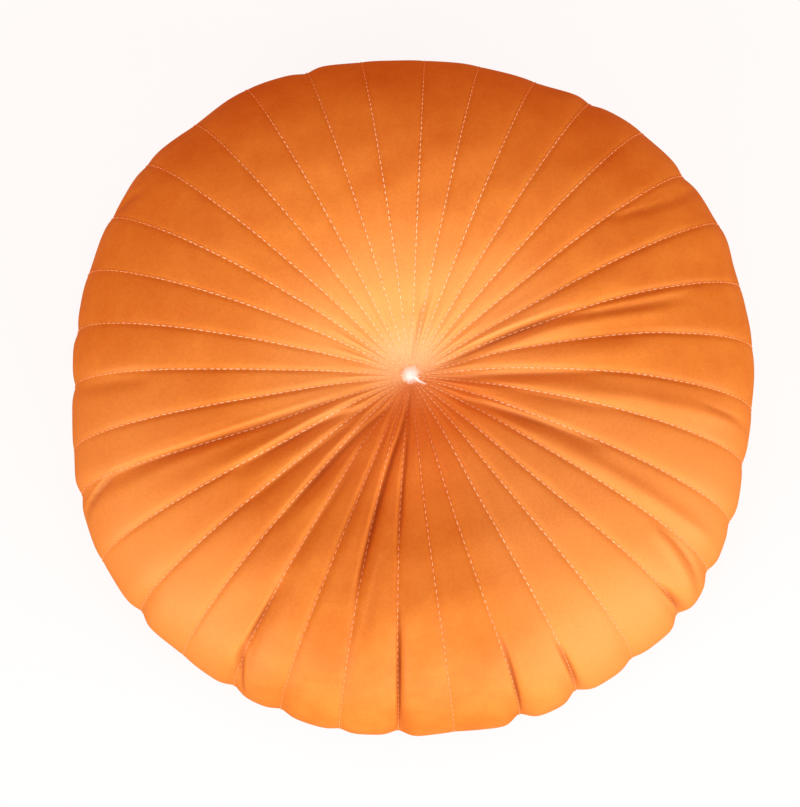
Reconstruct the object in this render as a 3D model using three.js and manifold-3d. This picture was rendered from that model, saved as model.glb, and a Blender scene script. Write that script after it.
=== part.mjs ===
// A round pleated velvet cushion that lies on its back. Its cover is channel-quilted: straight seams run
// from the tie in the middle of the face, over the rim and on to the middle of the back, and the cloth
// between two seams is a filled rib. A knot of thread draws the middle of the face down.
// Units are millimetres and +Z is up. The origin is on the floor, below the tie.
import * as THREE from "three";
import { mergeVertices } from "three/addons/utils/BufferGeometryUtils.js";
import Module from "manifold-3d";

// Driving dimensions of the filled cover
const RIM_RADIUS = 198;
const RIM_LEVEL = 48;
const CROWN_RADIUS = 105;
const CROWN_LEVEL = 111;
const FACE_DIP = 32;
const TIE_PULL = 2;
const TIE_PULL_REACH = 12;
const PIT_RADIUS = 6;
const FOOT_OUTER_RADIUS = 116;
const FOOT_INNER_RADIUS = 94;
const FOOT_GROOVE = 0.7;
const BACK_DIP = 20;

// Ribs between the seams
const SEAM_COUNT = 36;
const FIRST_SEAM_AZIMUTH = -2;
const RIB_FULLNESS = 0.24;
const RIB_SHOULDER = 3;
const RIB_GATHERED_WIDTH = 6;
const RIM_FLATNESS = 0.75;
const RIM_FLAT_HALF_LENGTH = 60;
const NOTCH_HALF_WIDTH = 6;
const NOTCH_HALF_LENGTH = 34;
const BACK_EASING = 60;
const FOLD_FADE = 0.6;

// Knot of white thread
const KNOT_RADIUS = 3.2;
const KNOT_HEIGHT = 3.4;
const KNOT_SIDES = 20;
const TAIL_RADIUS = 0.6;
const TAIL_SIDES = 8;
const TAIL_STEPS = 8;
const SEAT_GAP = 0.3;

// Mesh density
const RIB_COLUMNS = [0, 0.15, 0.38, 0.62, 0.85];
const DIP_ROWS = 8;
const SHOULDER_ROWS = 10;
const UNDERSIDE_ROWS = 7;
const BACK_ROWS = 5;
const DIP_ROW_BIAS = 1.35;

// One row for each seam, anticlockwise from the right-hand side. near and far are the degrees by which the
// seam strays from its even place, beside the tie and at the rim. reach is how far out the rim lies there,
// against RIM_RADIUS, and notch how far the thread then draws it in. fullness is how full the rib after the
// seam is on the face, against the usual one.
const SEAMS = [
  { near: 0, far: -2, reach: -1.5, notch: 0, fullness: 1 },
  { near: 0.5, far: -1.5, reach: 1, notch: 0, fullness: 1 },
  { near: 0, far: -1, reach: 2.5, notch: 0, fullness: 1 },
  { near: -2.5, far: 0, reach: 6.5, notch: 0, fullness: 0.8 },
  { near: -1.5, far: 0, reach: 7, notch: 1.5, fullness: 0.6 },
  { near: -1, far: 0, reach: 7.5, notch: 0, fullness: 0.5 },
  { near: -1, far: 0, reach: 5, notch: 2, fullness: 0.5 },
  { near: -0.5, far: 0, reach: 1, notch: 0, fullness: 0.45 },
  { near: 0, far: 0, reach: 0.5, notch: 0, fullness: 0.45 },
  { near: -0.5, far: -0.5, reach: 0.5, notch: 0, fullness: 0.45 },
  { near: 0, far: 0.5, reach: 1, notch: 0, fullness: 0.45 },
  { near: 0.5, far: 0, reach: 4, notch: 2, fullness: 0.45 },
  { near: 1, far: 0.5, reach: 6, notch: 0, fullness: 0.45 },
  { near: 1, far: 1, reach: 5, notch: 0, fullness: 0.45 },
  { near: 1.5, far: 1.5, reach: 7, notch: 1, fullness: 0.5 },
  { near: 1.5, far: 2.5, reach: 4, notch: 0, fullness: 0.5 },
  { near: 2, far: 2.5, reach: 0.5, notch: 0, fullness: 0.5 },
  { near: 4, far: 2.5, reach: -1.5, notch: 1.5, fullness: 0.6 },
  { near: 6.5, far: 2, reach: -3.5, notch: 1.5, fullness: 0.75 },
  { near: 6.5, far: 3, reach: -1.5, notch: 0, fullness: 0.9 },
  { near: 8.5, far: 0.5, reach: 2, notch: 2, fullness: 1 },
  { near: 6, far: 2, reach: 4, notch: 0, fullness: 1 },
  { near: 4.5, far: 2.5, reach: 4.5, notch: 2.5, fullness: 1 },
  { near: 3, far: 2.5, reach: 3, notch: 0, fullness: 1 },
  { near: 2, far: 2, reach: 2.5, notch: 2.5, fullness: 1 },
  { near: 2, far: 0.5, reach: 3, notch: 2, fullness: 1 },
  { near: -2, far: 0.5, reach: 3, notch: 1.5, fullness: 1 },
  { near: -3, far: 0, reach: 1.5, notch: 3, fullness: 0.9 },
  { near: -3.5, far: -1, reach: 0.5, notch: 0, fullness: 0.8 },
  { near: -4, far: 0, reach: 4, notch: 4.5, fullness: 0.7 },
  { near: -3, far: 0, reach: 3.5, notch: 4, fullness: 0.7 },
  { near: -3, far: 0.5, reach: 3.5, notch: 2, fullness: 0.7 },
  { near: -3.5, far: 1, reach: 6.5, notch: 4.5, fullness: 0.8 },
  { near: -2, far: -0.5, reach: 4.5, notch: 3, fullness: 0.9 },
  { near: -1.5, far: -1.5, reach: 1.5, notch: 1.5, fullness: 1 },
  { near: -1, far: -1.5, reach: -1.5, notch: 1, fullness: 1 },
];

// One row for each soft fold of the face. It runs from one distance along the cloth from the tie to
// another, the rim being at 235, and swings from its start azimuth to its end azimuth on the way. height is
// how far it stands up, or sinks where it is negative.
const FOLDS = [
  { start: 351.5, end: 355.5, from: 14, to: 105, halfWidth: 4.5, height: -1 },
  { start: 1.5, end: 3, from: 45, to: 140, halfWidth: 7, height: 1.6 },
  { start: 13, end: 17.5, from: 16, to: 100, halfWidth: 4.5, height: -1.2 },
  { start: 14, end: 12, from: 36, to: 160, halfWidth: 4.5, height: 2 },
  { start: 24, end: 22, from: 28, to: 135, halfWidth: 7, height: 1.8 },
  { start: 36, end: 34.5, from: 140, to: 225, halfWidth: 4, height: -1 },
  { start: 144, end: 151.5, from: 195, to: 235, halfWidth: 4, height: -2 },
  { start: 183, end: 181.5, from: 155, to: 215, halfWidth: 5, height: -2 },
  { start: 202, end: 200, from: 110, to: 235, halfWidth: 4.5, height: -1.8 },
  { start: 206.5, end: 204.5, from: 75, to: 165, halfWidth: 7, height: -1.4 },
  { start: 211.5, end: 210, from: 24, to: 130, halfWidth: 5, height: 1.4 },
  { start: 217, end: 214, from: 40, to: 125, halfWidth: 4.5, height: -0.8 },
  { start: 225, end: 222.5, from: 40, to: 125, halfWidth: 4.5, height: -0.6 },
  { start: 234.5, end: 232, from: 40, to: 125, halfWidth: 4.5, height: -0.8 },
  { start: 241.5, end: 240, from: 110, to: 235, halfWidth: 4.5, height: -1.6 },
  { start: 260, end: 257.5, from: 35, to: 140, halfWidth: 4, height: -0.8 },
  { start: 253.5, end: 252.5, from: 14, to: 135, halfWidth: 8, height: 1.8 },
  { start: 267.5, end: 268.5, from: 120, to: 240, halfWidth: 4, height: -1.6 },
  { start: 325.5, end: 321.5, from: 165, to: 222, halfWidth: 3, height: 1.6 },
  { start: 329.5, end: 330.5, from: 95, to: 210, halfWidth: 4.5, height: 1.8 },
  { start: 331, end: 334.5, from: 40, to: 120, halfWidth: 4, height: -0.7 },
  { start: 349, end: 351.5, from: 85, to: 205, halfWidth: 5, height: 1.6 },
];

// One row for each broad swell or hollow of the filling: where its middle lies, how far it spreads round the
// face and along the radius, and how high it stands.
const SWELLS = [
  { azimuth: 270, halfAngle: 65, radius: 47, halfWidth: 22, height: 4.5 },
  { azimuth: 270, halfAngle: 55, radius: 155, halfWidth: 46, height: 4 },
  { azimuth: 90, halfAngle: 60, radius: 150, halfWidth: 45, height: -2.5 },
  { azimuth: 25, halfAngle: 34, radius: 128, halfWidth: 30, height: 3 },
];

// One row for each loose end of the knot, which lies on the ribs beside it.
const TAILS = [
  { azimuth: -33, length: 9.5, bend: -5 },
  { azimuth: -48, length: 7.5, bend: 8 },
];

const BRIGHT_ORANGE = 0xe0701c;
const THREAD_WHITE = 0xf6ecec;

const radians = THREE.MathUtils.degToRad;
const mix = THREE.MathUtils.lerp;

function smoothStep(value) {
  return THREE.MathUtils.smoothstep(value, 0, 1);
}

function bell(distance, halfWidth) {
  return Math.exp(-((distance / halfWidth) ** 2));
}

// Level of the face's grooves inside the crown, where the tie draws the cloth down.
function dipLevel(radius) {
  const dip = FACE_DIP * (1 - radius / CROWN_RADIUS) ** 2;
  const pull = TIE_PULL * Math.exp(-(radius - PIT_RADIUS) / TIE_PULL_REACH);
  return CROWN_LEVEL - dip - pull;
}

// The groove line under the stitches, in four stretches, before the outline is made uneven.
function faceDipPoint(share) {
  const radius = mix(PIT_RADIUS, CROWN_RADIUS, share ** DIP_ROW_BIAS);
  return { radius, level: dipLevel(radius) };
}

function shoulderPoint(share) {
  const angle = radians(90 * (1 - share));
  return {
    radius: CROWN_RADIUS + (RIM_RADIUS - CROWN_RADIUS) * Math.cos(angle),
    level: RIM_LEVEL + (CROWN_LEVEL - RIM_LEVEL) * Math.sin(angle),
  };
}

function undersidePoint(share) {
  const angle = radians(90 * share);
  return {
    radius: FOOT_OUTER_RADIUS + (RIM_RADIUS - FOOT_OUTER_RADIUS) * Math.cos(angle),
    level: RIM_LEVEL - (RIM_LEVEL - FOOT_GROOVE) * Math.sin(angle),
  };
}

function backPoint(share) {
  const radius = mix(FOOT_INNER_RADIUS, PIT_RADIUS, share);
  return { radius, level: FOOT_GROOVE + BACK_DIP * (1 - radius / FOOT_INNER_RADIUS) ** 2 };
}

// The groove line from the tie to the middle of the back, with its length so far and its outward normal.
function makeMeridian() {
  const points = [];
  for (let i = 0; i < DIP_ROWS; i += 1) points.push(faceDipPoint(i / DIP_ROWS));
  for (let i = 0; i < SHOULDER_ROWS; i += 1) points.push(shoulderPoint(i / SHOULDER_ROWS));
  for (let i = 0; i <= UNDERSIDE_ROWS; i += 1) points.push(undersidePoint(i / UNDERSIDE_ROWS));
  for (let i = 0; i <= BACK_ROWS; i += 1) points.push(backPoint(i / BACK_ROWS));
  let travelled = PIT_RADIUS;
  return points.map((point, i) => {
    const before = points[Math.max(i - 1, 0)];
    const after = points[Math.min(i + 1, points.length - 1)];
    if (i > 0) travelled += Math.hypot(point.radius - before.radius, point.level - before.level);
    const along = Math.hypot(after.radius - before.radius, after.level - before.level);
    return {
      ...point,
      travelled,
      outward: -(after.level - before.level) / along,
      upward: (after.radius - before.radius) / along,
    };
  });
}

const MERIDIAN = makeMeridian();
const RIM_TRAVEL = MERIDIAN[DIP_ROWS + SHOULDER_ROWS].travelled;

// Direction of a seam, in degrees. It strays by its near value beside the tie and its far value at the rim.
function seamAzimuth(index, travelled) {
  const seam = SEAMS[index % SEAM_COUNT];
  const stray = mix(seam.near, seam.far, smoothStep(travelled / RIM_TRAVEL));
  return FIRST_SEAM_AZIMUTH + (360 / SEAM_COUNT) * index + stray;
}

// How far the rim lies outside or inside its even radius, eased from one seam to the next.
function rimReach(index, across) {
  return mix(SEAMS[index].reach, SEAMS[(index + 1) % SEAM_COUNT].reach, smoothStep(across));
}

// 0 on the face and 1 on the back, with an easy change behind the rim.
function backShare(travelled) {
  return smoothStep((travelled - RIM_TRAVEL) / BACK_EASING);
}

// Height of the middle of a usual rib above its seams. It is less for its width where the ribs are narrow.
function ribRise(width) {
  return (RIB_FULLNESS * width) / Math.sqrt(width + RIB_GATHERED_WIDTH);
}

// Height of a rib above its seams. The cloth is drawn tight, so the ribs are flatter at the rim.
function ribHeight(index, across, width, travelled) {
  const arch = 1 - Math.abs(2 * across - 1) ** RIB_SHOULDER;
  const fullness = mix(SEAMS[index].fullness, 1, backShare(travelled));
  const drawnFlat = 1 - RIM_FLATNESS * bell(travelled - RIM_TRAVEL, RIM_FLAT_HALF_LENGTH);
  return ribRise(width) * fullness * drawnFlat * arch;
}

function notchDepth(index, across, width, travelled) {
  const here = SEAMS[index].notch * bell(across * width, NOTCH_HALF_WIDTH);
  const next = SEAMS[(index + 1) % SEAM_COUNT].notch * bell((1 - across) * width, NOTCH_HALF_WIDTH);
  return (here + next) * bell(travelled - RIM_TRAVEL, NOTCH_HALF_LENGTH);
}

function foldHeight(azimuth, radius, travelled) {
  let height = 0;
  for (const fold of FOLDS) {
    const share = (travelled - fold.from) / (fold.to - fold.from);
    if (share <= 0 || share >= 1) continue;
    const turnAway = ((azimuth - mix(fold.start, fold.end, share) + 540) % 360) - 180;
    const fade = Math.sin(Math.PI * share) ** FOLD_FADE;
    height += fold.height * fade * bell(radians(turnAway) * radius, fold.halfWidth);
  }
  return height;
}

function swellHeight(azimuth, radius, travelled) {
  let height = 0;
  for (const swell of SWELLS) {
    const turnAway = ((azimuth - swell.azimuth + 540) % 360) - 180;
    height += swell.height * bell(turnAway, swell.halfAngle) * bell(radius - swell.radius, swell.halfWidth);
  }
  return height * (1 - backShare(travelled));
}

function coverPoint(index, across, row) {
  const startAzimuth = seamAzimuth(index, row.travelled);
  const endAzimuth = seamAzimuth(index + 1, row.travelled);
  const azimuth = mix(startAzimuth, endAzimuth, across);
  const width = radians(endAzimuth - startAzimuth) * row.radius;
  const height =
    ribHeight(index, across, width, row.travelled) -
    notchDepth(index, across, width, row.travelled) +
    swellHeight(azimuth, row.radius, row.travelled) +
    foldHeight(azimuth, row.radius, row.travelled);
  const radius = row.radius * (1 + rimReach(index, across) / RIM_RADIUS) + row.outward * height;
  const level = Math.max(0, row.level + row.upward * height);
  return [radius * Math.cos(radians(azimuth)), radius * Math.sin(radians(azimuth)), level];
}

// The filled cover as one closed surface: rings of points from the tie to the middle of the back.
function coverGeometry() {
  const ringSize = SEAM_COUNT * RIB_COLUMNS.length;
  const positions = [];
  for (const row of MERIDIAN) {
    for (let index = 0; index < SEAM_COUNT; index += 1) {
      for (const across of RIB_COLUMNS) positions.push(...coverPoint(index, across, row));
    }
  }
  const faceMiddle = positions.length / 3;
  positions.push(0, 0, MERIDIAN[0].level);
  positions.push(0, 0, MERIDIAN[MERIDIAN.length - 1].level);
  const backMiddle = faceMiddle + 1;
  const faces = [];
  const lastRing = (MERIDIAN.length - 1) * ringSize;
  for (let column = 0; column < ringSize; column += 1) {
    const nextColumn = (column + 1) % ringSize;
    faces.push(faceMiddle, column, nextColumn);
    faces.push(backMiddle, lastRing + nextColumn, lastRing + column);
    for (let ring = 0; ring < lastRing; ring += ringSize) {
      const here = ring + column;
      const beside = ring + nextColumn;
      faces.push(here, here + ringSize, beside);
      faces.push(beside, here + ringSize, beside + ringSize);
    }
  }
  const geometry = new THREE.BufferGeometry();
  geometry.setAttribute("position", new THREE.Float32BufferAttribute(positions, 3));
  geometry.setIndex(faces);
  geometry.computeVertexNormals();
  return geometry;
}

// Level of the fullest rib's crest in the dip, at a place seen from the tie.
function ribTopLevel(azimuth, radius) {
  const width = radians(360 / SEAM_COUNT) * radius;
  const fullest = Math.max(...SEAMS.map((seam) => seam.fullness));
  return dipLevel(radius) + swellHeight(azimuth, radius, radius) + ribRise(width) * fullest;
}

function knotBunGeometry(seatLevel) {
  const profile = [
    [0, 0],
    [0.8 * KNOT_RADIUS, 0],
    [KNOT_RADIUS, 0.35 * KNOT_HEIGHT],
    [0.85 * KNOT_RADIUS, 0.7 * KNOT_HEIGHT],
    [0.45 * KNOT_RADIUS, 0.95 * KNOT_HEIGHT],
    [0, KNOT_HEIGHT],
  ];
  const outline = profile.map(([radius, height]) => new THREE.Vector2(radius, height));
  const geometry = new THREE.LatheGeometry(outline, KNOT_SIDES);
  geometry.rotateX(Math.PI / 2);
  geometry.translate(0, 0, seatLevel);
  return geometry;
}

function tailGeometry(tail, seatLevel) {
  const points = [0.3, 0.6, 0.8, 1].map((share) => {
    const radius = share * tail.length;
    const azimuth = tail.azimuth + tail.bend * share;
    const resting = ribTopLevel(azimuth, Math.max(radius, PIT_RADIUS)) + TAIL_RADIUS + SEAT_GAP;
    const level = Math.max(resting, seatLevel + 0.5 * KNOT_HEIGHT);
    return new THREE.Vector3(radius * Math.cos(radians(azimuth)), radius * Math.sin(radians(azimuth)), level);
  });
  const section = new THREE.Shape();
  for (let side = 0; side < TAIL_SIDES; side += 1) {
    const angle = (2 * Math.PI * side) / TAIL_SIDES;
    const corner = [TAIL_RADIUS * Math.cos(angle), TAIL_RADIUS * Math.sin(angle)];
    if (side === 0) section.moveTo(...corner);
    else section.lineTo(...corner);
  }
  section.closePath();
  const extrudePath = new THREE.CatmullRomCurve3(points);
  return new THREE.ExtrudeGeometry(section, { steps: TAIL_STEPS, extrudePath });
}

const wasm = await Module();
wasm.setup();

function solidFrom(geometry) {
  const bare = geometry.clone();
  bare.deleteAttribute("normal");
  bare.deleteAttribute("uv");
  const merged = mergeVertices(bare, 1e-3);
  return new wasm.Manifold(
    new wasm.Mesh({
      numProp: 3,
      vertProperties: new Float32Array(merged.attributes.position.array),
      triVerts: new Uint32Array(merged.index.array),
    }),
  );
}

function geometryFrom(solid) {
  const mesh = solid.getMesh();
  const geometry = new THREE.BufferGeometry();
  geometry.setAttribute("position", new THREE.BufferAttribute(new Float32Array(mesh.vertProperties), 3));
  geometry.setIndex(new THREE.BufferAttribute(new Uint32Array(mesh.triVerts), 1));
  geometry.computeVertexNormals();
  return geometry;
}

// The knot and its loose ends are one twist of thread.
function tieGeometry() {
  const seatLevel = MERIDIAN[0].level + SEAT_GAP;
  let solid = solidFrom(knotBunGeometry(seatLevel));
  for (const tail of TAILS) solid = solid.add(solidFrom(tailGeometry(tail, seatLevel)));
  return geometryFrom(solid);
}

function namedMesh(name, geometry, color, roughness) {
  const material = new THREE.MeshStandardMaterial({ color, roughness, metalness: 0 });
  const mesh = new THREE.Mesh(geometry, material);
  mesh.name = name;
  return mesh;
}

const cushion = new THREE.Group();
cushion.add(namedMesh("cushion_cover", coverGeometry(), BRIGHT_ORANGE, 0.85));
cushion.add(namedMesh("centre_tie", tieGeometry(), THREAD_WHITE, 0.7));

export default cushion;
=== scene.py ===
"""A round pleated velvet cushion that lies on its back on a pale floor, seen almost from above.

The cover's form is worked out in millimetres from the same sizes and tables as its solid, and is turned into
metres where a mesh is made. A point of the cloth is named by its rib, by how far it lies across that rib,
and by how far along the cloth it lies from the tie in the middle of the face.
"""

import bpy
import numpy as np
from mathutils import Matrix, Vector


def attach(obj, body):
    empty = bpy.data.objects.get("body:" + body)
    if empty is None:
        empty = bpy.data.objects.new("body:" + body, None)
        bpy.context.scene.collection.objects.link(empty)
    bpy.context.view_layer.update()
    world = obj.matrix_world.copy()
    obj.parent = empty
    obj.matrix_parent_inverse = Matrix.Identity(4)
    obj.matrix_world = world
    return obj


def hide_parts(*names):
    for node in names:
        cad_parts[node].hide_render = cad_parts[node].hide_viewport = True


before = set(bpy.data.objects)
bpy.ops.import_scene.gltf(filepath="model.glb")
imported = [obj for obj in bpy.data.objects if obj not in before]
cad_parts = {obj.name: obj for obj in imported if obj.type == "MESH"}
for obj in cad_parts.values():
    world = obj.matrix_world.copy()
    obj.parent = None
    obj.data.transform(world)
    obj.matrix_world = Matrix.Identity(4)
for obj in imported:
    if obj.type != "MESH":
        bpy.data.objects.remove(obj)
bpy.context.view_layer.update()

METRES = 0.001
RANDOM_SEED = 20

# Driving dimensions of the filled cover. Sizes are in millimetres and angles in degrees, unless a comment
# says otherwise.
RIM_RADIUS = 198
RIM_LEVEL = 48
CROWN_RADIUS = 105
CROWN_LEVEL = 111
FACE_DIP = 32
TIE_PULL = 2
TIE_PULL_REACH = 12
PIT_RADIUS = 6
FOOT_OUTER_RADIUS = 116
FOOT_INNER_RADIUS = 94
FOOT_GROOVE = 0.7
BACK_DIP = 20

# Ribs between the seams, and the groove along each seam
SEAM_COUNT = 36
FIRST_SEAM_AZIMUTH = -2
RIB_FULLNESS = 0.24
RIB_SHOULDER = 3
RIB_GATHERED_WIDTH = 6
RIM_FLATNESS = 0.75
RIM_FLAT_HALF_LENGTH = 60
NOTCH_HALF_WIDTH = 6
NOTCH_HALF_LENGTH = 34
BACK_EASING = 60
SEAM_GROOVE = 0.9
SEAM_GROOVE_HALF_WIDTH = 1.7
GROOVE_FULL_RADIUS = 40

# Unevenness of the filling, and narrow gathers beside the tie
WAVE_COUNT = 24
WAVELENGTHS = (24, 70)
UNEVENNESS = 0.2
GATHERS_EACH = 2
GATHER_DEPTH = 0.35
GATHER_DEPTH_SHARES = (0.2, 1)
GATHER_SHIFTS = (-0.12, 0.12)
GATHER_MIDDLE = 30
GATHER_HALF_LENGTH = 22

# Mesh density, with the distances along the cloth at which its rows start, change and end
RIB_COLUMNS = 20
COLUMN_CROWDING = 0.6
NEAR_ROWS = 14
FACE_ROWS = 92
BACK_ROWS = 29
FIRST_ROW = 1
NEAR_EDGE = 20
FACE_EDGE = 262
BACK_LEFT_OPEN = 2

# Topstitching, with the distance from one stitch to the next, the stitch's length and the thread's
# radius, and how much they vary. At its ends a stitch keeps a share of its rise and of its thickness.
STITCH_PITCH = 3.75
STITCH_LENGTH = 2.75
THREAD_RADIUS = 0.25
STITCH_LENGTH_SHARES = (0.88, 1.1)
THREAD_RADIUS_SHARES = (0.88, 1.12)
STITCH_STRAY = 0.12
STITCH_SKEW = 0.09
STITCH_END_RISE = 0.15
STITCH_END_THICKNESS = 0.2
STRAND_SIDES = 6
STITCH_RINGS = 6
FIRST_STITCH = 6
BACK_LEFT_UNSTITCHED = 12

# Knot in the middle of the face, wound as a slightly flat ball
KNOT_RADIUS = 1.9
KNOT_THREAD = 0.42
KNOT_LOOPS = 14
KNOT_RINGS = 16
KNOT_LOOP_SHARES = (0.75, 1)
KNOT_AXIS_SPREAD = (1, 1, 0.7)
KNOT_FLATNESS = 0.8

# Gathering stitches that reach out from the knot
RAY_START = 1.2
RAY_REACH = (4.6, 6.8)
RAY_THREAD = 0.2
RAY_LIFT = 0.15
RAY_RISE = 1.1
RAY_TAPER = 0.5

# Loose ends of the knot. A tail's row gives its azimuth, length, bend in degrees and rise.
TAIL_THREAD = 0.5
TAIL_START = 0.12
TAIL_DESCENT = 0.55
TAIL_TAPER = 0.45
TAILS = [
    (-33, 10.8, -5, 0.4),
    (-48, 9, 8, 0.8),
]

# Camera, where the photograph was taken from, with the photograph's scale at the target
VIEW_ELEVATION = 76
VIEW_DISTANCE = 2000
VIEW_TARGET = (-6.0, -8.8, 48.2)
PHOTO_PIXELS_PER_MM = 1.735
PHOTO_LONG_SIDE = 807
SENSOR_WIDTH = 36
VIEW_END_IN_METRES = 20

# Colours of the pile, in linear light. It is mottled from deep to light all over.
VELVET_DEEP = (0.575, 0.175, 0.010)
VELVET_LIGHT = (0.655, 0.255, 0.026)

# The pile is painted paler beside the tie on the side where the dip's slope faces the lamps, and most
# of all right beside it: painted light. Each pair of distances is in metres from the tie's axis, and the
# share fades to nothing from the first to the second. It is whole on the side of the azimuth and least
# on the far side, and changes between these cosines of the turn.
VELVET_PAINTED_LIGHT = (0.80, 0.43, 0.12)
PAINTED_LIGHT_BETWEEN = (0.02, 0.11)
PAINTED_LIGHT_SHARE = 0.9
VELVET_PAINTED_LIGHT_BESIDE_TIE = (0.95, 0.70, 0.37)
TIE_BETWEEN = (0.004, 0.034)
TIE_SHARE = 0.85
LIT_SIDE_AZIMUTH = 115
LIT_SIDE_COSINES = (-0.9, 0.2)
FAR_SIDE_SHARE = 0.3

# On that far side, where the dip's slope turns away from the lamps, the pile is painted redder: painted
# shade.
VELVET_SHADED = (0.82, 0.19, 0.012)
SHADED_BETWEEN = (0.02, 0.11)
SHADED_SHARE = 0.8

# Painted light: the pile is painted paler on some sides, as if lit more strongly there. Each row gives the
# azimuth of such a side, two distances in metres from the tie's axis, and the share of the paler colour
# within the first and beyond the second.
VELVET_PAINTED_SHEEN = (0.72, 0.32, 0.065)
PAINTED_SHEEN_COSINES = (0.76, 0.98)
PAINTED_SHEEN_PATCHES = [
    (322, 0.035, 0.1, 0, 0.9),
    (212, 0.11, 0.165, 0, 0.7),
    (24, 0.07, 0.115, 0.45, 0),
]

# Painted shade in the creases darkens the pile. The mesh carries how much of it each point takes.
VELVET_CREASE_SHADE = (0.37, 0.075, 0.008)
CREASE_SHADE_SHARE = 0.75
CREASE_SHADE_ATTRIBUTE = "painted_crease_shade"

# Grain of the pile. It leans toward the tie by a share of its length, and the grain's height is in metres.
PILE_LEAN = 0.12
MOTTLE_NOISE = {"Scale": 22, "Detail": 7, "Roughness": 0.78}
GRAIN_NOISE = {"Scale": 700, "Detail": 3, "Roughness": 0.7}
GRAIN_STRENGTH = 0.25
GRAIN_HEIGHT = 0.0006
SPECKLE = 0.08
SPECKLE_BETWEEN = (0.3, 0.7)
TONES_BETWEEN = (0.35, 0.65)
VELVET_SHADER = {
    "Roughness": 0.6,
    "Specular IOR Level": 0.9,
    "Specular Tint": (1.0, 0.8, 0.5, 1),
    "Sheen Weight": 0.1,
    "Sheen Roughness": 0.5,
    "Sheen Tint": (1.0, 0.8, 0.55, 1),
}

# Threads, each with a shade and a light colour. The stitching takes the sunken colour between two distances
# in metres from the tie's axis, where it sinks into the pile, and on the side of the azimuth between two
# cosines of the turn, where it is painted shade.
STITCHING_COLORS = ((0.94, 0.70, 0.42), (1.0, 0.86, 0.58))
KNOT_COLORS = ((0.97, 0.90, 0.90), (0.95, 0.98, 1.0))
# The knot's thread glows faintly: painted light.
KNOT_PAINTED_GLOW = 0.3
THREAD_SUNKEN_AND_SHADED = (0.86, 0.36, 0.11)
SUNKEN_BETWEEN = (0.13, 0.195)
SUNKEN_SHARE = 0.7
SHADED_STITCHES_AZIMUTH = 262
SHADED_STITCHES_SIDE = (0.8, 0.97)
SHADED_STITCHES_SHARE = 0.6
THREAD_NOISE = {"Scale": 500, "Detail": 2}
THREAD_ROUGHNESS = 0.55

# Light. A lamp's row gives its direction in degrees, its distance and sizes in metres and its power in
# watts.
AMBIENT_COLOR = (1.0, 0.25, 0.05)
AMBIENT_STRENGTH = 0.67
LAMP_TARGET_IN_METRES = (0, 0, 0.05)
LAMPS = [
    ("key", -74, 21, 2.3, 1.6, 1.2, 27),
    ("left", -136, 21, 2.3, 1.2, 1.2, 31),
    ("right", -29, 20, 2.3, 1.2, 1.2, 29),
    ("top", 0, 90, 2.5, 1.5, 1.5, 12),
]

# Stage of white paper
STAGE_REACH = 4000
WALL_HEIGHT = 3000
PAPER_SHADER = {
    "Base Color": (0.12, 0.12, 0.12, 1),
    "Roughness": 0.9,
    "Specular IOR Level": 0.1,
    "Emission Color": (1, 1, 1, 1),
    "Emission Strength": 0.88,
}

# One row for each seam, anticlockwise. It strays by near degrees beside the tie and by far degrees at the
# rim, the outline reaches out there by reach, and notch is how deep the rim is pinched in. The rib after
# the seam is filled to a share of its fullness.
SEAM_COLUMNS = ("near", "far", "reach", "notch", "fullness")
SEAMS = [
    (0, -2, -1.5, 0, 1),
    (0.5, -1.5, 1, 0, 1),
    (0, -1, 2.5, 0, 1),
    (-2.5, 0, 6.5, 0, 0.8),
    (-1.5, 0, 7, 1.5, 0.6),
    (-1, 0, 7.5, 0, 0.5),
    (-1, 0, 5, 2, 0.5),
    (-0.5, 0, 1, 0, 0.45),
    (0, 0, 0.5, 0, 0.45),
    (-0.5, -0.5, 0.5, 0, 0.45),
    (0, 0.5, 1, 0, 0.45),
    (0.5, 0, 4, 2, 0.45),
    (1, 0.5, 6, 0, 0.45),
    (1, 1, 5, 0, 0.45),
    (1.5, 1.5, 7, 1, 0.5),
    (1.5, 2.5, 4, 0, 0.5),
    (2, 2.5, 0.5, 0, 0.5),
    (4, 2.5, -1.5, 1.5, 0.6),
    (6.5, 2, -3.5, 1.5, 0.75),
    (6.5, 3, -1.5, 0, 0.9),
    (8.5, 0.5, 2, 2, 1),
    (6, 2, 4, 0, 1),
    (4.5, 2.5, 4.5, 2.5, 1),
    (3, 2.5, 3, 0, 1),
    (2, 2, 2.5, 2.5, 1),
    (2, 0.5, 3, 2, 1),
    (-2, 0.5, 3, 1.5, 1),
    (-3, 0, 1.5, 3, 0.9),
    (-3.5, -1, 0.5, 0, 0.8),
    (-4, 0, 4, 4.5, 0.7),
    (-3, 0, 3.5, 4, 0.7),
    (-3, 0.5, 3.5, 2, 0.7),
    (-3.5, 1, 6.5, 4.5, 0.8),
    (-2, -0.5, 4.5, 3, 0.9),
    (-1.5, -1.5, 1.5, 1.5, 1),
    (-1, -1.5, -1.5, 1, 1),
]
SEAM = dict(zip(SEAM_COLUMNS, np.array(SEAMS, dtype=float).T))

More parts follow.
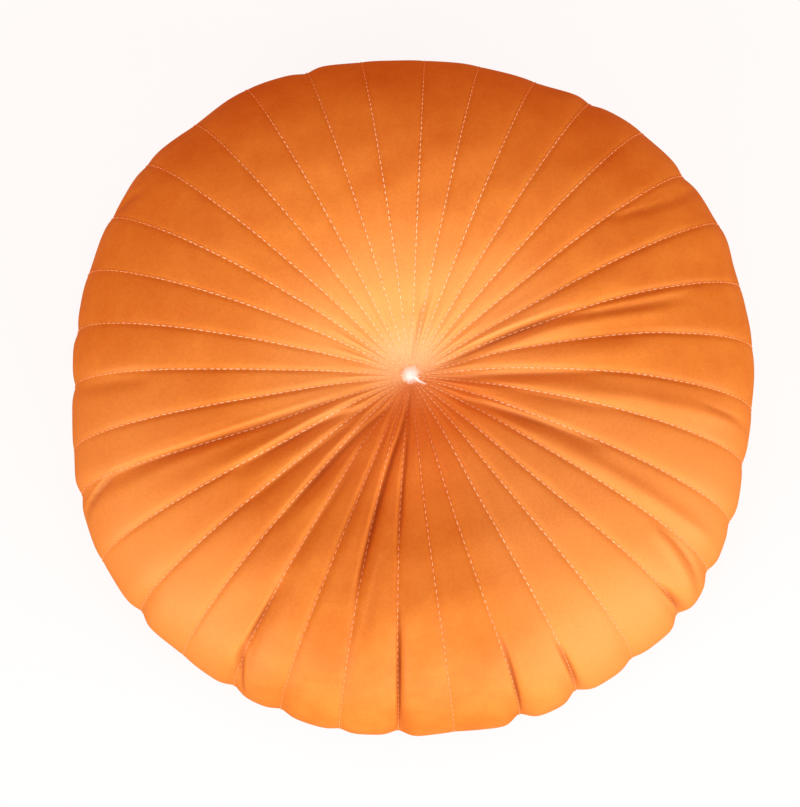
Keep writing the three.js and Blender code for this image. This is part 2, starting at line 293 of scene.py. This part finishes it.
# Soft folds of the face. A row gives the azimuths at which a fold starts and ends, the distances along
# the cloth between which it runs, its half width and its height, which is below 0 in a hollow.
FOLDS = [
    (351.5, 355.5, 14, 105, 4.5, -1),
    (1.5, 3, 45, 140, 7, 1.6),
    (13, 17.5, 16, 100, 4.5, -1.2),
    (14, 12, 36, 160, 4.5, 2),
    (24, 22, 28, 135, 7, 1.8),
    (36, 34.5, 140, 225, 4, -1),
    (144, 151.5, 195, 235, 4, -2),
    (183, 181.5, 155, 215, 5, -2),
    (202, 200, 110, 235, 4.5, -1.8),
    (206.5, 204.5, 75, 165, 7, -1.4),
    (211.5, 210, 24, 130, 5, 1.4),
    (217, 214, 40, 125, 4.5, -0.8),
    (225, 222.5, 40, 125, 4.5, -0.6),
    (234.5, 232, 40, 125, 4.5, -0.8),
    (241.5, 240, 110, 235, 4.5, -1.6),
    (260, 257.5, 35, 140, 4, -0.8),
    (253.5, 252.5, 14, 135, 8, 1.8),
    (267.5, 268.5, 120, 240, 4, -1.6),
    (325.5, 321.5, 165, 222, 3, 1.6),
    (329.5, 330.5, 95, 210, 4.5, 1.8),
    (331, 334.5, 40, 120, 4, -0.7),
    (349, 351.5, 85, 205, 5, 1.6),
]
FOLD_FADE = 0.6

# Sharp creases of the face. A row gives start, end, turn, bend, the distances along the cloth between
# which the crease runs, half width, depth and side. It comes in from the azimuth start and goes over to
# end the sooner, the greater turn is, and its middle strays by bend degrees from that way. The cloth
# falls steeply into it from a lip on the side that side names, 1 being anticlockwise, and softly on the
# other.
CREASES = [
    (348, 355.8, 2.5, 0, 12, 118, 1.7, 2.2, 1),
    (352.4, 351.4, 1, 0, 172, 224, 1.1, 1.4, -1),
    (8, 17.8, 4.5, 0, 10, 106, 1.7, 3.4, 1),
    (16.6, 15, 1, -1.6, 86, 172, 1.8, 1.6, 1),
    (37, 35.2, 1, -2, 140, 218, 1.3, 1.3, 1),
    (84, 77.5, 1, 0, 8, 52, 1.3, 1.2, 1),
    (204.5, 199.6, 1, 0, 50, 198, 1.4, 2.2, -1),
    (199.4, 203, 1, 0, 182, 232, 1.3, 2.6, -1),
    (228, 213.3, 6, 0, 34, 124, 1.7, 2.6, -1),
    (228, 222.6, 3, 0, 38, 130, 1.5, 1.5, -1),
    (245, 231.8, 5, 0, 23, 126, 1.7, 2.8, -1),
    (243, 240.6, 2, 0, 60, 140, 1.5, 1.2, -1),
    (240.4, 239.2, 1, 0, 146, 204, 1, 2.6, -1),
    (239, 242.4, 1, 0, 188, 230, 1.2, 2.6, 1),
    (253, 249.6, 2, 0, 36, 120, 1.5, 1.1, -1),
    (273, 257, 4, 0, 6, 148, 1.3, 3.8, -1),
    (270, 266.2, 3, 0, 26, 116, 1.3, 2.2, -1),
    (261.8, 260, 1, 0, 116, 170, 1.2, 0.9, -1),
    (267.4, 268.2, 1, 0, 140, 234, 0.8, 3.4, -1),
    (287.8, 288.2, 1, 0, 160, 234, 0.8, 3, -1),
    (297.3, 298.2, 1, 0, 180, 234, 0.9, 2.8, -1),
    (318.6, 319.4, 1, 0, 190, 236, 1, 2.8, -1),
    (326, 322.6, 1, 1, 168, 226, 1.2, 1.4, -1),
    (325, 334.8, 3.5, 0, 30, 126, 1.7, 2.4, 1),
    (343.8, 345.4, 2, 0, 50, 130, 1.5, 1, 1),
]
CREASE_FADE = 0.9

# Section of a crease. The lip's height is a share of the depth, and all widths and the lip's place are
# counted in half widths. The painted shade of a crease lies in a narrower stretch, and is whole where the
# crease is this deep.
LIP_SHARE = 0.25
LIP_PLACE = 2
LIP_WIDTH = 1.2
SOFT_SIDE = 2.2
SHADE_STRETCH_SHARE = 0.8
SHADE_STRETCH_SOFT_SIDE = 1.4
FULL_SHADE_DEPTH = 3

# Broad swells and hollows of the filling. A row gives the azimuth and its half angle, the radius and its
# half width, and the height, which is below 0 in a hollow.
SWELLS = [
    (270, 65, 47, 22, 4.5),
    (270, 55, 155, 46, 4),
    (90, 60, 150, 45, -2.5),
    (25, 34, 128, 30, 3),
]


def smooth_step(value):
    t = np.clip(value, 0, 1)
    return t * t * (3 - 2 * t)


def bell(distance, half_width):
    return np.exp(-((distance / half_width) ** 2))


def mix(a, b, share):
    return a + (b - a) * share


def share_between(value, start, end):
    return np.clip((value - start) / (end - start), 0, 1)


def turn_from(place, azimuth):
    """The turn from a place to an azimuth, from -180 to 180 degrees."""
    return (azimuth - place + 540) % 360 - 180


def polar_point(radius, azimuth, level):
    angle = np.radians(azimuth)
    return np.stack([radius * np.cos(angle), radius * np.sin(angle), level], axis=-1)


def unit(vectors):
    return vectors / np.linalg.norm(vectors, axis=-1, keepdims=True)


def dip_level(radius):
    """Level of the face's grooves inside the crown, where the tie draws the cloth down."""
    outside_pit = np.maximum(radius, PIT_RADIUS)
    dip = FACE_DIP * (1 - outside_pit / CROWN_RADIUS) ** 2
    pull = TIE_PULL * np.exp(-(outside_pit - PIT_RADIUS) / TIE_PULL_REACH)
    return CROWN_LEVEL - dip - pull


class Meridian:
    """The groove line under the stitches, from the middle of the face to the middle of the back."""

    def __init__(self, steps=600):
        quarter = np.radians(np.linspace(0, 90, steps))
        dip = np.linspace(0, CROWN_RADIUS, steps)
        back = np.linspace(FOOT_INNER_RADIUS, 0, steps)
        shoulder = CROWN_RADIUS + (RIM_RADIUS - CROWN_RADIUS) * np.sin(quarter[1:])
        shoulder_level = RIM_LEVEL + (CROWN_LEVEL - RIM_LEVEL) * np.cos(quarter[1:])
        under = FOOT_OUTER_RADIUS + (RIM_RADIUS - FOOT_OUTER_RADIUS) * np.cos(quarter[1:])
        under_level = RIM_LEVEL - (RIM_LEVEL - FOOT_GROOVE) * np.sin(quarter[1:])
        back_level = FOOT_GROOVE + BACK_DIP * (1 - back / FOOT_INNER_RADIUS) ** 2
        radius = np.concatenate([dip, shoulder, under, back])
        level = np.concatenate([dip_level(dip), shoulder_level, under_level, back_level])
        step = np.hypot(np.diff(radius), np.diff(level))
        self.travelled = np.concatenate([[0], np.cumsum(step)])
        self.radius = radius
        self.level = level
        along = np.hypot(np.gradient(radius), np.gradient(level))
        self.outward = -np.gradient(level) / along
        self.upward = np.gradient(radius) / along
        self.rim = self.travelled[len(dip) + len(shoulder) - 1]
        self.end = self.travelled[-1]

    def at(self, travelled):
        values = (self.radius, self.level, self.outward, self.upward)
        return [np.interp(travelled, self.travelled, value) for value in values]


MERIDIAN = Meridian()


def seam_azimuth(index, travelled):
    """Direction of a seam in degrees. It strays by near beside the tie and by far at the rim."""
    wrapped = index % SEAM_COUNT
    stray = mix(SEAM["near"][wrapped], SEAM["far"][wrapped], smooth_step(travelled / MERIDIAN.rim))
    return FIRST_SEAM_AZIMUTH + 360 / SEAM_COUNT * index + stray


def fold_height(azimuth, radius, travelled):
    height = np.zeros_like(azimuth)
    for start, end, nearest, farthest, half_width, rise in FOLDS:
        share = share_between(travelled, nearest, farthest)
        fade = np.sin(np.pi * share) ** FOLD_FADE
        away = np.radians(turn_from(mix(start, end, share), azimuth)) * radius
        height += rise * fade * bell(away, half_width)
    return height


def crease_height(azimuth, radius, travelled):
    """Height of the creases, and the share of painted shade in them, from 0 to 1."""
    height = np.zeros_like(azimuth)
    closed = np.zeros_like(azimuth)
    for start, end, turn, bend, nearest, farthest, half_width, depth, side in CREASES:
        share = share_between(travelled, nearest, farthest)
        fade = np.sin(np.pi * share) ** CREASE_FADE
        middle = mix(end, start, (1 - share) ** turn) + 4 * bend * share * (1 - share)
        turning = (end - start) * turn * (1 - share) ** (turn - 1) + 4 * bend * (1 - 2 * share)
        slant = np.hypot(1, np.radians(turning) * radius / (farthest - nearest))
        away = side * np.radians(turn_from(middle, azimuth)) * radius / slant
        furrow = bell(away, np.where(away > 0, half_width, SOFT_SIDE * half_width))
        lip = bell(away - LIP_PLACE * half_width, LIP_WIDTH * half_width)
        height += depth * fade * (LIP_SHARE * lip - furrow)
        # Painted shade, in a narrower stretch than the furrow.
        shaded_stretch = bell(away, np.where(away > 0, 1, SHADE_STRETCH_SOFT_SIDE) * SHADE_STRETCH_SHARE * half_width)
        closed = np.maximum(closed, fade * shaded_stretch * np.minimum(depth / FULL_SHADE_DEPTH, 1))
    return height, closed


def unevenness(azimuth, radius):
    """Small irregular swells, as a sum of waves that run across the face each in a direction of its own."""
    rng = np.random.default_rng(RANDOM_SEED)
    height = np.zeros_like(azimuth)
    angle = np.radians(azimuth)
    for _ in range(WAVE_COUNT):
        way = rng.uniform(0, 2 * np.pi)
        wavelength = rng.uniform(*WAVELENGTHS)
        along = radius * np.cos(angle - way)
        height += np.cos(2 * np.pi * (along / wavelength + rng.uniform()))
    return height * UNEVENNESS / np.sqrt(WAVE_COUNT / 2)


def gather_height(index, across, travelled):
    """Narrow pleats between the seams beside the tie, of another depth in each rib."""
    rng = np.random.default_rng(RANDOM_SEED)
    depth = rng.uniform(*GATHER_DEPTH_SHARES, SEAM_COUNT)[index] * GATHER_DEPTH
    shift = rng.uniform(*GATHER_SHIFTS, SEAM_COUNT)[index]
    pleats = np.cos(2 * np.pi * (GATHERS_EACH * across + shift)) * np.sin(np.pi * across)
    return depth * pleats * bell(travelled - GATHER_MIDDLE, GATHER_HALF_LENGTH)


def swell_height(azimuth, radius):
    height = np.zeros_like(azimuth)
    for place, half_angle, ring, half_width, rise in SWELLS:
        height += rise * bell(turn_from(place, azimuth), half_angle) * bell(radius - ring, half_width)
    return height


def cover_point(index, across, travelled, lift=0):
    """Points of the cover's outside, in millimetres, lift above the cloth."""
    following = (index + 1) % SEAM_COUNT
    radius, level, outward, upward = MERIDIAN.at(travelled)
    start = seam_azimuth(index, travelled)
    end = seam_azimuth(index + 1, travelled)
    azimuth = mix(start, end, across)
    width = np.radians(end - start) * radius
    easing = smooth_step((travelled - MERIDIAN.rim) / BACK_EASING)
    fullness = mix(SEAM["fullness"][index], 1, easing)
    drawn_flat = 1 - RIM_FLATNESS * bell(travelled - MERIDIAN.rim, RIM_FLAT_HALF_LENGTH)
    arch = 1 - np.abs(2 * across - 1) ** RIB_SHOULDER
    rib = RIB_FULLNESS * width / np.sqrt(width + RIB_GATHERED_WIDTH) * fullness * drawn_flat * arch
    near_seam = bell(across * width, NOTCH_HALF_WIDTH) * SEAM["notch"][index]
    near_next = bell((1 - across) * width, NOTCH_HALF_WIDTH) * SEAM["notch"][following]
    notch = (near_seam + near_next) * bell(travelled - MERIDIAN.rim, NOTCH_HALF_LENGTH)
    from_seam = np.minimum(across, 1 - across) * width
    groove = SEAM_GROOVE * fullness * drawn_flat * bell(from_seam, SEAM_GROOVE_HALF_WIDTH)
    groove = groove * smooth_step(radius / GROOVE_FULL_RADIUS)
    swell = (swell_height(azimuth, radius) + unevenness(azimuth, radius)) * (1 - easing)
    folds = fold_height(azimuth, radius, travelled) + crease_height(azimuth, radius, travelled)[0]
    gathers = gather_height(index, across, travelled)
    height = rib - notch - groove + swell + folds + gathers + lift
    reach = mix(SEAM["reach"][index], SEAM["reach"][following], smooth_step(across))
    out = radius * (1 + reach / RIM_RADIUS) + outward * height
    up = np.maximum(0, level + upward * height)
    return polar_point(out, azimuth, up)


def new_mesh(name, points, faces, smooth=True):
    """A mesh object from points in millimetres."""
    mesh = bpy.data.meshes.new(name)
    mesh.from_pydata((np.asarray(points) * METRES).tolist(), [], faces)
    mesh.validate()
    if smooth:
        mesh.shade_smooth()
    else:
        mesh.shade_flat()
    piece = bpy.data.objects.new(name, mesh)
    bpy.context.scene.collection.objects.link(piece)
    return piece


def row_distances():
    near = np.linspace(FIRST_ROW, NEAR_EDGE, NEAR_ROWS, endpoint=False)
    face = np.linspace(NEAR_EDGE, FACE_EDGE, FACE_ROWS, endpoint=False)
    back = np.linspace(FACE_EDGE, MERIDIAN.end - BACK_LEFT_OPEN, BACK_ROWS)
    return np.concatenate([near, face, back])


def skin_faces(ring, row_count, face_middle, back_middle):
    """Faces between rows of ring points each, closed by a fan round each of the two middles."""
    faces = []
    last = (row_count - 1) * ring
    for here in range(ring):
        beside = (here + 1) % ring
        faces.append((face_middle, here, beside))
        faces.append((back_middle, last + beside, last + here))
        for row in range(0, last, ring):
            faces.append((row + here, row + ring + here, row + ring + beside, row + beside))
    return faces


def make_cover():
    """The filled cover as one closed skin, with its columns closest together at the seams."""
    even = np.arange(RIB_COLUMNS) / RIB_COLUMNS
    across = even - COLUMN_CROWDING * np.sin(2 * np.pi * even) / (2 * np.pi)
    ring_index = np.repeat(np.arange(SEAM_COUNT), RIB_COLUMNS)
    rows = row_distances()
    shape = (len(rows), len(ring_index))
    index = np.broadcast_to(ring_index, shape)
    travelled = np.broadcast_to(rows[:, None], shape)
    placed_across = np.broadcast_to(np.tile(across, SEAM_COUNT), shape)
    points = cover_point(index, placed_across, travelled).reshape(-1, 3)
    faces = skin_faces(len(ring_index), len(rows), len(points), len(points) + 1)
    middles = [[0, 0, dip_level(0)], [0, 0, FOOT_GROOVE + BACK_DIP]]
    skin = new_mesh("velvet_cover", np.concatenate([points, middles]), faces)
    azimuth = mix(seam_azimuth(index, travelled), seam_azimuth(index + 1, travelled), placed_across)
    # Painted shade in the creases, which the mesh carries to the material.
    closed = crease_height(azimuth, MERIDIAN.at(travelled)[0], travelled)[1].ravel()
    carried = skin.data.attributes.new(CREASE_SHADE_ATTRIBUTE, "FLOAT", "POINT")
    carried.data.foreach_set("value", np.append(closed, np.zeros(len(middles))))
    return skin


def strand_mesh(name, spine, normal, thick):
    """Closed strands of thread with round sections, one for each row of spine points."""
    tangent = unit(np.gradient(spine, axis=1))
    side = unit(np.cross(tangent, normal))
    over = np.cross(side, tangent)
    turn = 2 * np.pi * np.arange(STRAND_SIDES) / STRAND_SIDES
    around = np.cos(turn)[:, None] * side[..., None, :] + np.sin(turn)[:, None] * over[..., None, :]
    points = spine[..., None, :] + thick[..., None, None] * around
    count, rings = spine.shape[:2]
    corner = np.arange(STRAND_SIDES)
    ring_starts = np.arange(rings - 1) * STRAND_SIDES
    low = (ring_starts[:, None] + corner).ravel()
    low_next = (ring_starts[:, None] + (corner + 1) % STRAND_SIDES).ravel()
    walls = np.stack([low, low + STRAND_SIDES, low_next + STRAND_SIDES, low_next], axis=1)
    ends = np.array([corner, (rings - 1) * STRAND_SIDES + corner[::-1]])
    first = np.arange(count) * rings * STRAND_SIDES
    faces = (first[:, None, None] + walls).reshape(-1, 4).tolist()
    faces += (first[:, None, None] + ends).reshape(-1, STRAND_SIDES).tolist()
    return new_mesh(name, points.reshape(-1, 3), faces)


def seam_line(seam, travelled):
    """Points of the cloth on the seams, with a row for each entry of seam, and the cloth's normals there."""
    index = np.broadcast_to(seam[:, None], travelled.shape)
    on_seam = np.zeros(travelled.shape)
    points = cover_point(index, on_seam, travelled)
    return points, unit(cover_point(index, on_seam, travelled, lift=1) - points)


def make_stitches(name, start, end, seed):
    """Raised stitches, one after another along each seam."""
    rng = np.random.default_rng(seed)
    places = np.arange(start, end, STITCH_PITCH)
    seam = np.repeat(np.arange(SEAM_COUNT), len(places))
    slide = np.repeat(rng.uniform(0, STITCH_PITCH, SEAM_COUNT), len(places))
    middle = np.tile(places, SEAM_COUNT) + slide + rng.normal(0, STITCH_STRAY, len(seam))
    half = STITCH_LENGTH / 2 * rng.uniform(*STITCH_LENGTH_SHARES, len(seam))
    share = np.linspace(-1, 1, STITCH_RINGS)
    spine, normal = seam_line(seam, middle[:, None] + half[:, None] * share)
    side = unit(np.cross(np.gradient(spine, axis=1), normal))
    thread = THREAD_RADIUS * rng.uniform(*THREAD_RADIUS_SHARES, len(seam))[:, None]
    skew = rng.normal(0, STITCH_SKEW, len(seam))[:, None] * share
    rise = thread * mix(STITCH_END_RISE, 1, 1 - share ** 2)
    spine = spine + rise[..., None] * normal + skew[..., None] * side
    thick = thread * mix(STITCH_END_THICKNESS, 1, np.sqrt(1 - share ** 4))
    return strand_mesh(name, spine, normal, thick)


def knot_loops(rng):
    """Turns of thread wound over one another into a small ball."""
    turn = np.linspace(0, 2 * np.pi, KNOT_RINGS)
    axis = unit(rng.normal(0, 1, (KNOT_LOOPS, 3)) * KNOT_AXIS_SPREAD)
    first = unit(np.cross(axis, (0, 0, 1.0)))
    second = np.cross(axis, first)
    wide = KNOT_RADIUS * rng.uniform(*KNOT_LOOP_SHARES, (KNOT_LOOPS, 1, 1))
    ring = wide * (np.cos(turn)[:, None] * first[:, None] + np.sin(turn)[:, None] * second[:, None])
    middle = np.array([0, 0, dip_level(0) + KNOT_THREAD + KNOT_FLATNESS * KNOT_RADIUS])
    spine = middle + ring * (1, 1, KNOT_FLATNESS)
    return spine, np.broadcast_to(axis[:, None], spine.shape), np.full(spine.shape[:2], KNOT_THREAD)


def knot_rays(rng):
    """Gathering stitches that reach from the knot out over the first of the cloth, seam by seam."""
    share = np.linspace(0, 1, KNOT_RINGS)
    reach = rng.uniform(*RAY_REACH, SEAM_COUNT)
    spine, normal = seam_line(np.arange(SEAM_COUNT), mix(RAY_START, reach[:, None], share))
    rise = RAY_LIFT + RAY_RISE * (1 - share) ** 3
    thick = RAY_THREAD * (1 - RAY_TAPER * share ** 4) * np.ones((SEAM_COUNT, 1))
    return spine + rise[:, None] * normal, normal, thick


def knot_tails():
    """Cut ends of the knot's thread, which come down from the knot and lie side by side on the ribs."""
    share = np.linspace(0, 1, KNOT_RINGS)
    knot_top = dip_level(0) + KNOT_RADIUS
    spines = []
    for azimuth, length, bend, rise in TAILS:
        radius = length * mix(TAIL_START, 1, share)
        carrier = mix(knot_top, dip_level(radius), smooth_step(share / TAIL_DESCENT))
        spines.append(polar_point(radius, azimuth + bend * share, carrier + rise + TAIL_THREAD))
    spine = np.array(spines)
    upright = np.broadcast_to((0.0, 0.0, 1.0), spine.shape)
    thick = TAIL_THREAD * (1 - TAIL_TAPER * share ** 3) * np.ones((len(TAILS), 1))
    return spine, upright, thick


def make_tie():
    """The knot of white thread in the middle of the face, as three small meshes of strands."""
    rng = np.random.default_rng(RANDOM_SEED)
    return [
        strand_mesh("knot_loops", *knot_loops(rng)),
        strand_mesh("knot_rays", *knot_rays(rng)),
        strand_mesh("knot_tails", *knot_tails()),
    ]


def new_material(name, constants):
    """A material with its node tree and its shader, whose own sockets hold the constant values."""
    material = bpy.data.materials.new(name)
    material.use_nodes = True
    tree = material.node_tree
    shader = tree.nodes["Principled BSDF"]
    for key, value in constants.items():
        shader.inputs[key].default_value = value
    return material, tree, shader


def add_node(tree, kind, inputs=None, **settings):
    node = tree.nodes.new(kind)
    for key, value in settings.items():
        setattr(node, key, value)
    for key, value in (inputs or {}).items():
        if isinstance(value, bpy.types.NodeSocket):
            tree.links.new(value, node.inputs[key])
        else:
            node.inputs[key].default_value = value
    return node


def vector_math(tree, operation, inputs, output="Vector"):
    return add_node(tree, "ShaderNodeVectorMath", inputs, operation=operation).outputs[output]


def product(tree, value, factor):
    return add_node(tree, "ShaderNodeMath", {0: value, 1: factor}, operation="MULTIPLY").outputs[0]


def noise(tree, place, settings):
    return add_node(tree, "ShaderNodeTexNoise", {"Vector": place, **settings}).outputs["Fac"]


def ranged(tree, value, start, end, low, high, **settings):
    """A socket that goes from low to high while the value goes from start to end."""
    inputs = {"Value": value, "From Min": start, "From Max": end, "To Min": low, "To Max": high}
    return add_node(tree, "ShaderNodeMapRange", inputs, **settings).outputs["Result"]


def two_tones(tree, value, shade, light):
    """A socket with a colour that goes from shade to light with a value."""
    ramp = add_node(tree, "ShaderNodeValToRGB", {"Fac": value})
    for element, position, color in zip(ramp.color_ramp.elements, TONES_BETWEEN, (shade, light)):
        element.position = position
        element.color = (*color, 1)
    return ramp.outputs["Color"]


def mixed_color(tree, share, color, other):
    """A socket with the colour mixed with a share of the other, which is a plain colour."""
    mixed = add_node(tree, "ShaderNodeMix", data_type="RGBA")
    tree.links.new(share, mixed.inputs["Factor"])
    tree.links.new(color, mixed.inputs["A"])
    mixed.inputs["B"].default_value = (*other, 1)
    return mixed.outputs["Result"]


def level_ways(tree, place):
    """The place of a point without its height, and its direction from the tie's axis."""
    level = vector_math(tree, "MULTIPLY", {0: place, 1: (1, 1, 0)})
    return level, vector_math(tree, "NORMALIZE", {0: level})


def far_share(tree, level, nearest, farthest, near_share, share):
    """A share that changes smoothly from near_share at the nearest distance from the tie's axis to share."""
    from_tie = vector_math(tree, "LENGTH", {0: level}, "Value")
    return ranged(tree, from_tie, nearest, farthest, near_share, share, interpolation_type="SMOOTHSTEP")


def side_share(tree, outward, azimuth, start, end, least=0):
    """A share that rises smoothly from least to 1 with the cosine of the turn from an azimuth."""
    turn = np.radians(azimuth)
    toward = vector_math(tree, "DOT_PRODUCT", {0: outward, 1: (np.cos(turn), np.sin(turn), 0)}, "Value")
    return ranged(tree, toward, start, end, least, 1, interpolation_type="SMOOTHSTEP")


def pile_color(tree, place, level, outward):
    """Colour of the pile without its speckle. Each line lays a colour over what comes before it."""
    lit_side = side_share(tree, outward, LIT_SIDE_AZIMUTH, *LIT_SIDE_COSINES, least=FAR_SIDE_SHARE)
    other_side = add_node(tree, "ShaderNodeMath", {0: 1.0, 1: lit_side}, operation="SUBTRACT").outputs[0]
    # Painted shade: redder pile beside the tie, on the far side from the lit slope.
    shaded = product(tree, far_share(tree, level, *SHADED_BETWEEN, SHADED_SHARE, 0), other_side)
    # Painted light: paler pile beside the tie, on the side whose slope into the dip faces the lamps.
    painted_light = product(tree, far_share(tree, level, *PAINTED_LIGHT_BETWEEN, PAINTED_LIGHT_SHARE, 0), lit_side)
    beside_tie = product(tree, far_share(tree, level, *TIE_BETWEEN, TIE_SHARE, 0), lit_side)
    # Painted shade in the creases, carried on the mesh.
    closed = add_node(tree, "ShaderNodeAttribute", attribute_name=CREASE_SHADE_ATTRIBUTE).outputs["Fac"]
    color = two_tones(tree, noise(tree, place, MOTTLE_NOISE), VELVET_DEEP, VELVET_LIGHT)
    color = mixed_color(tree, shaded, color, VELVET_SHADED)
    # Painted light, paler on some sides of the face.
    for azimuth, nearest, farthest, near_share, share in PAINTED_SHEEN_PATCHES:
        sheen_side = side_share(tree, outward, azimuth, *PAINTED_SHEEN_COSINES)
        painted_sheen = product(tree, far_share(tree, level, nearest, farthest, near_share, share), sheen_side)
        color = mixed_color(tree, painted_sheen, color, VELVET_PAINTED_SHEEN)
    color = mixed_color(tree, painted_light, color, VELVET_PAINTED_LIGHT)
    color = mixed_color(tree, beside_tie, color, VELVET_PAINTED_LIGHT_BESIDE_TIE)
    return mixed_color(tree, product(tree, closed, CREASE_SHADE_SHARE), color, VELVET_CREASE_SHADE)


def pile_normal(tree, outward, grain):
    """Normal of the pile, which leans toward the tie and has a fine grain."""
    back_tilt = vector_math(tree, "SCALE", {0: outward, "Scale": -PILE_LEAN})
    cloth_normal = add_node(tree, "ShaderNodeNewGeometry").outputs["Normal"]
    leaning = vector_math(tree, "ADD", {0: cloth_normal, 1: back_tilt})
    normal = vector_math(tree, "NORMALIZE", {0: leaning})
    inputs = {"Height": grain, "Normal": normal, "Strength": GRAIN_STRENGTH, "Distance": GRAIN_HEIGHT}
    return add_node(tree, "ShaderNodeBump", inputs).outputs["Normal"]


def velvet_material():
    """Short orange pile, with painted light on lit sides and painted shade on the far side and in creases."""
    material, tree, shader = new_material("orange_velvet", VELVET_SHADER)
    place = add_node(tree, "ShaderNodeTexCoord").outputs["Object"]
    level, outward = level_ways(tree, place)
    grain = noise(tree, place, GRAIN_NOISE)
    speckle = ranged(tree, grain, *SPECKLE_BETWEEN, 1 - SPECKLE, 1 + SPECKLE)
    color = pile_color(tree, place, level, outward)
    speckled = vector_math(tree, "SCALE", {0: color, "Scale": speckle})
    tree.links.new(speckled, shader.inputs["Base Color"])
    tree.links.new(pile_normal(tree, outward, grain), shader.inputs["Normal"])
    return material


def thread_material(name, shade, light, sunken, shaded=0, painted_glow=0):
    """Thread between two colours, with the pile's where it sinks in at the rim and as painted shade on one
    side.
    """
    # Any emission here is a painted glow: painted light.
    constants = {"Roughness": THREAD_ROUGHNESS, "Emission Color": (*light, 1), "Emission Strength": painted_glow}
    material, tree, shader = new_material(name, constants)
    place = add_node(tree, "ShaderNodeTexCoord").outputs["Object"]
    level, outward = level_ways(tree, place)
    in_shade = side_share(tree, outward, SHADED_STITCHES_AZIMUTH, *SHADED_STITCHES_SIDE)
    color = two_tones(tree, noise(tree, place, THREAD_NOISE), shade, light)
    # Painted shade on the side where the stitches lie in shade.
    color = mixed_color(tree, product(tree, in_shade, shaded), color, THREAD_SUNKEN_AND_SHADED)
    color = mixed_color(tree, far_share(tree, level, *SUNKEN_BETWEEN, 0, sunken), color, THREAD_SUNKEN_AND_SHADED)
    tree.links.new(color, shader.inputs["Base Color"])
    return material


def make_stage():
    """Floor and walls of white paper, which glows as if lit by lamps of its own. Neither throws light on
    the cushion, and the walls cast no shadow on it."""
    corners = [(-STAGE_REACH, -STAGE_REACH), (STAGE_REACH, -STAGE_REACH), (STAGE_REACH, STAGE_REACH),
               (-STAGE_REACH, STAGE_REACH)]
    low = [(x, y, 0) for x, y in corners]
    high = [(x, y, WALL_HEIGHT) for x, y in corners]
    floor = new_mesh("floor", low, [(0, 1, 2, 3)])
    sides = [(corner, corner + 4, (corner + 1) % 4 + 4, (corner + 1) % 4) for corner in range(4)]
    walls = new_mesh("walls", low + high, sides, smooth=False)
    walls.visible_shadow = False
    paper = new_material("white_paper", PAPER_SHADER)[0]
    for sheet in (floor, walls):
        sheet.data.materials.append(paper)
        sheet.visible_diffuse = False
        sheet.visible_glossy = False


def add_area_light(name, azimuth, elevation, distance, width, height, power):
    """A lamp that points at the cushion. Its azimuth and elevation are where it stands."""
    data = bpy.data.lights.new(name, "AREA")
    data.shape = "RECTANGLE"
    data.energy = power
    data.size = width
    data.size_y = height
    lamp = bpy.data.objects.new(name, data)
    bpy.context.scene.collection.objects.link(lamp)
    turn, rise = np.radians(azimuth), np.radians(elevation)
    toward = Vector((np.cos(turn) * np.cos(rise), np.sin(turn) * np.cos(rise), np.sin(rise)))
    lamp.location = Vector(LAMP_TARGET_IN_METRES) + distance * toward
    lamp.rotation_euler = (-toward).to_track_quat("-Z", "Y").to_euler()


def make_lights():
    world = bpy.data.worlds.new("studio")
    bpy.context.scene.world = world
    world.use_nodes = True
    world.node_tree.nodes["Background"].inputs["Color"].default_value = (*AMBIENT_COLOR, 1)
    world.node_tree.nodes["Background"].inputs["Strength"].default_value = AMBIENT_STRENGTH
    for name, azimuth, elevation, distance, width, height, power in LAMPS:
        add_area_light(name, azimuth, elevation, distance, width, height, power)
    bpy.context.scene.view_settings.view_transform = "Standard"


def make_camera():
    angle = np.radians(VIEW_ELEVATION)
    back = np.array([0, -np.cos(angle), np.sin(angle)])
    data = bpy.data.cameras.new("camera")
    data.sensor_width = SENSOR_WIDTH
    data.lens = PHOTO_PIXELS_PER_MM * VIEW_DISTANCE / PHOTO_LONG_SIDE * SENSOR_WIDTH
    data.clip_end = VIEW_END_IN_METRES
    camera = bpy.data.objects.new("camera", data)
    bpy.context.scene.collection.objects.link(camera)
    camera.location = (np.array(VIEW_TARGET) + VIEW_DISTANCE * back) * METRES
    camera.rotation_euler = (np.radians(90 - VIEW_ELEVATION), 0, 0)
    bpy.context.scene.camera = camera


make_camera()
make_lights()
make_stage()

cover = make_cover()
cover.data.materials.append(velvet_material())
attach(cover, "root")
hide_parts("cushion_cover")

stitching_thread = thread_material(
    "cream_thread", *STITCHING_COLORS, sunken=SUNKEN_SHARE, shaded=SHADED_STITCHES_SHARE
)
# The white knot's thread is given a painted glow.
knot_thread = thread_material("white_thread", *KNOT_COLORS, sunken=0, painted_glow=KNOT_PAINTED_GLOW)
face_stitches = make_stitches("face_stitches", FIRST_STITCH, FACE_EDGE, RANDOM_SEED)
back_end = MERIDIAN.end - BACK_LEFT_UNSTITCHED
back_stitches = make_stitches("back_stitches", FACE_EDGE, back_end, RANDOM_SEED + 1)
for stitches in (face_stitches, back_stitches):
    stitches.data.materials.append(stitching_thread)
    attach(stitches, "root")
for strands in make_tie():
    strands.data.materials.append(knot_thread)
    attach(strands, "root")
    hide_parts("centre_tie")
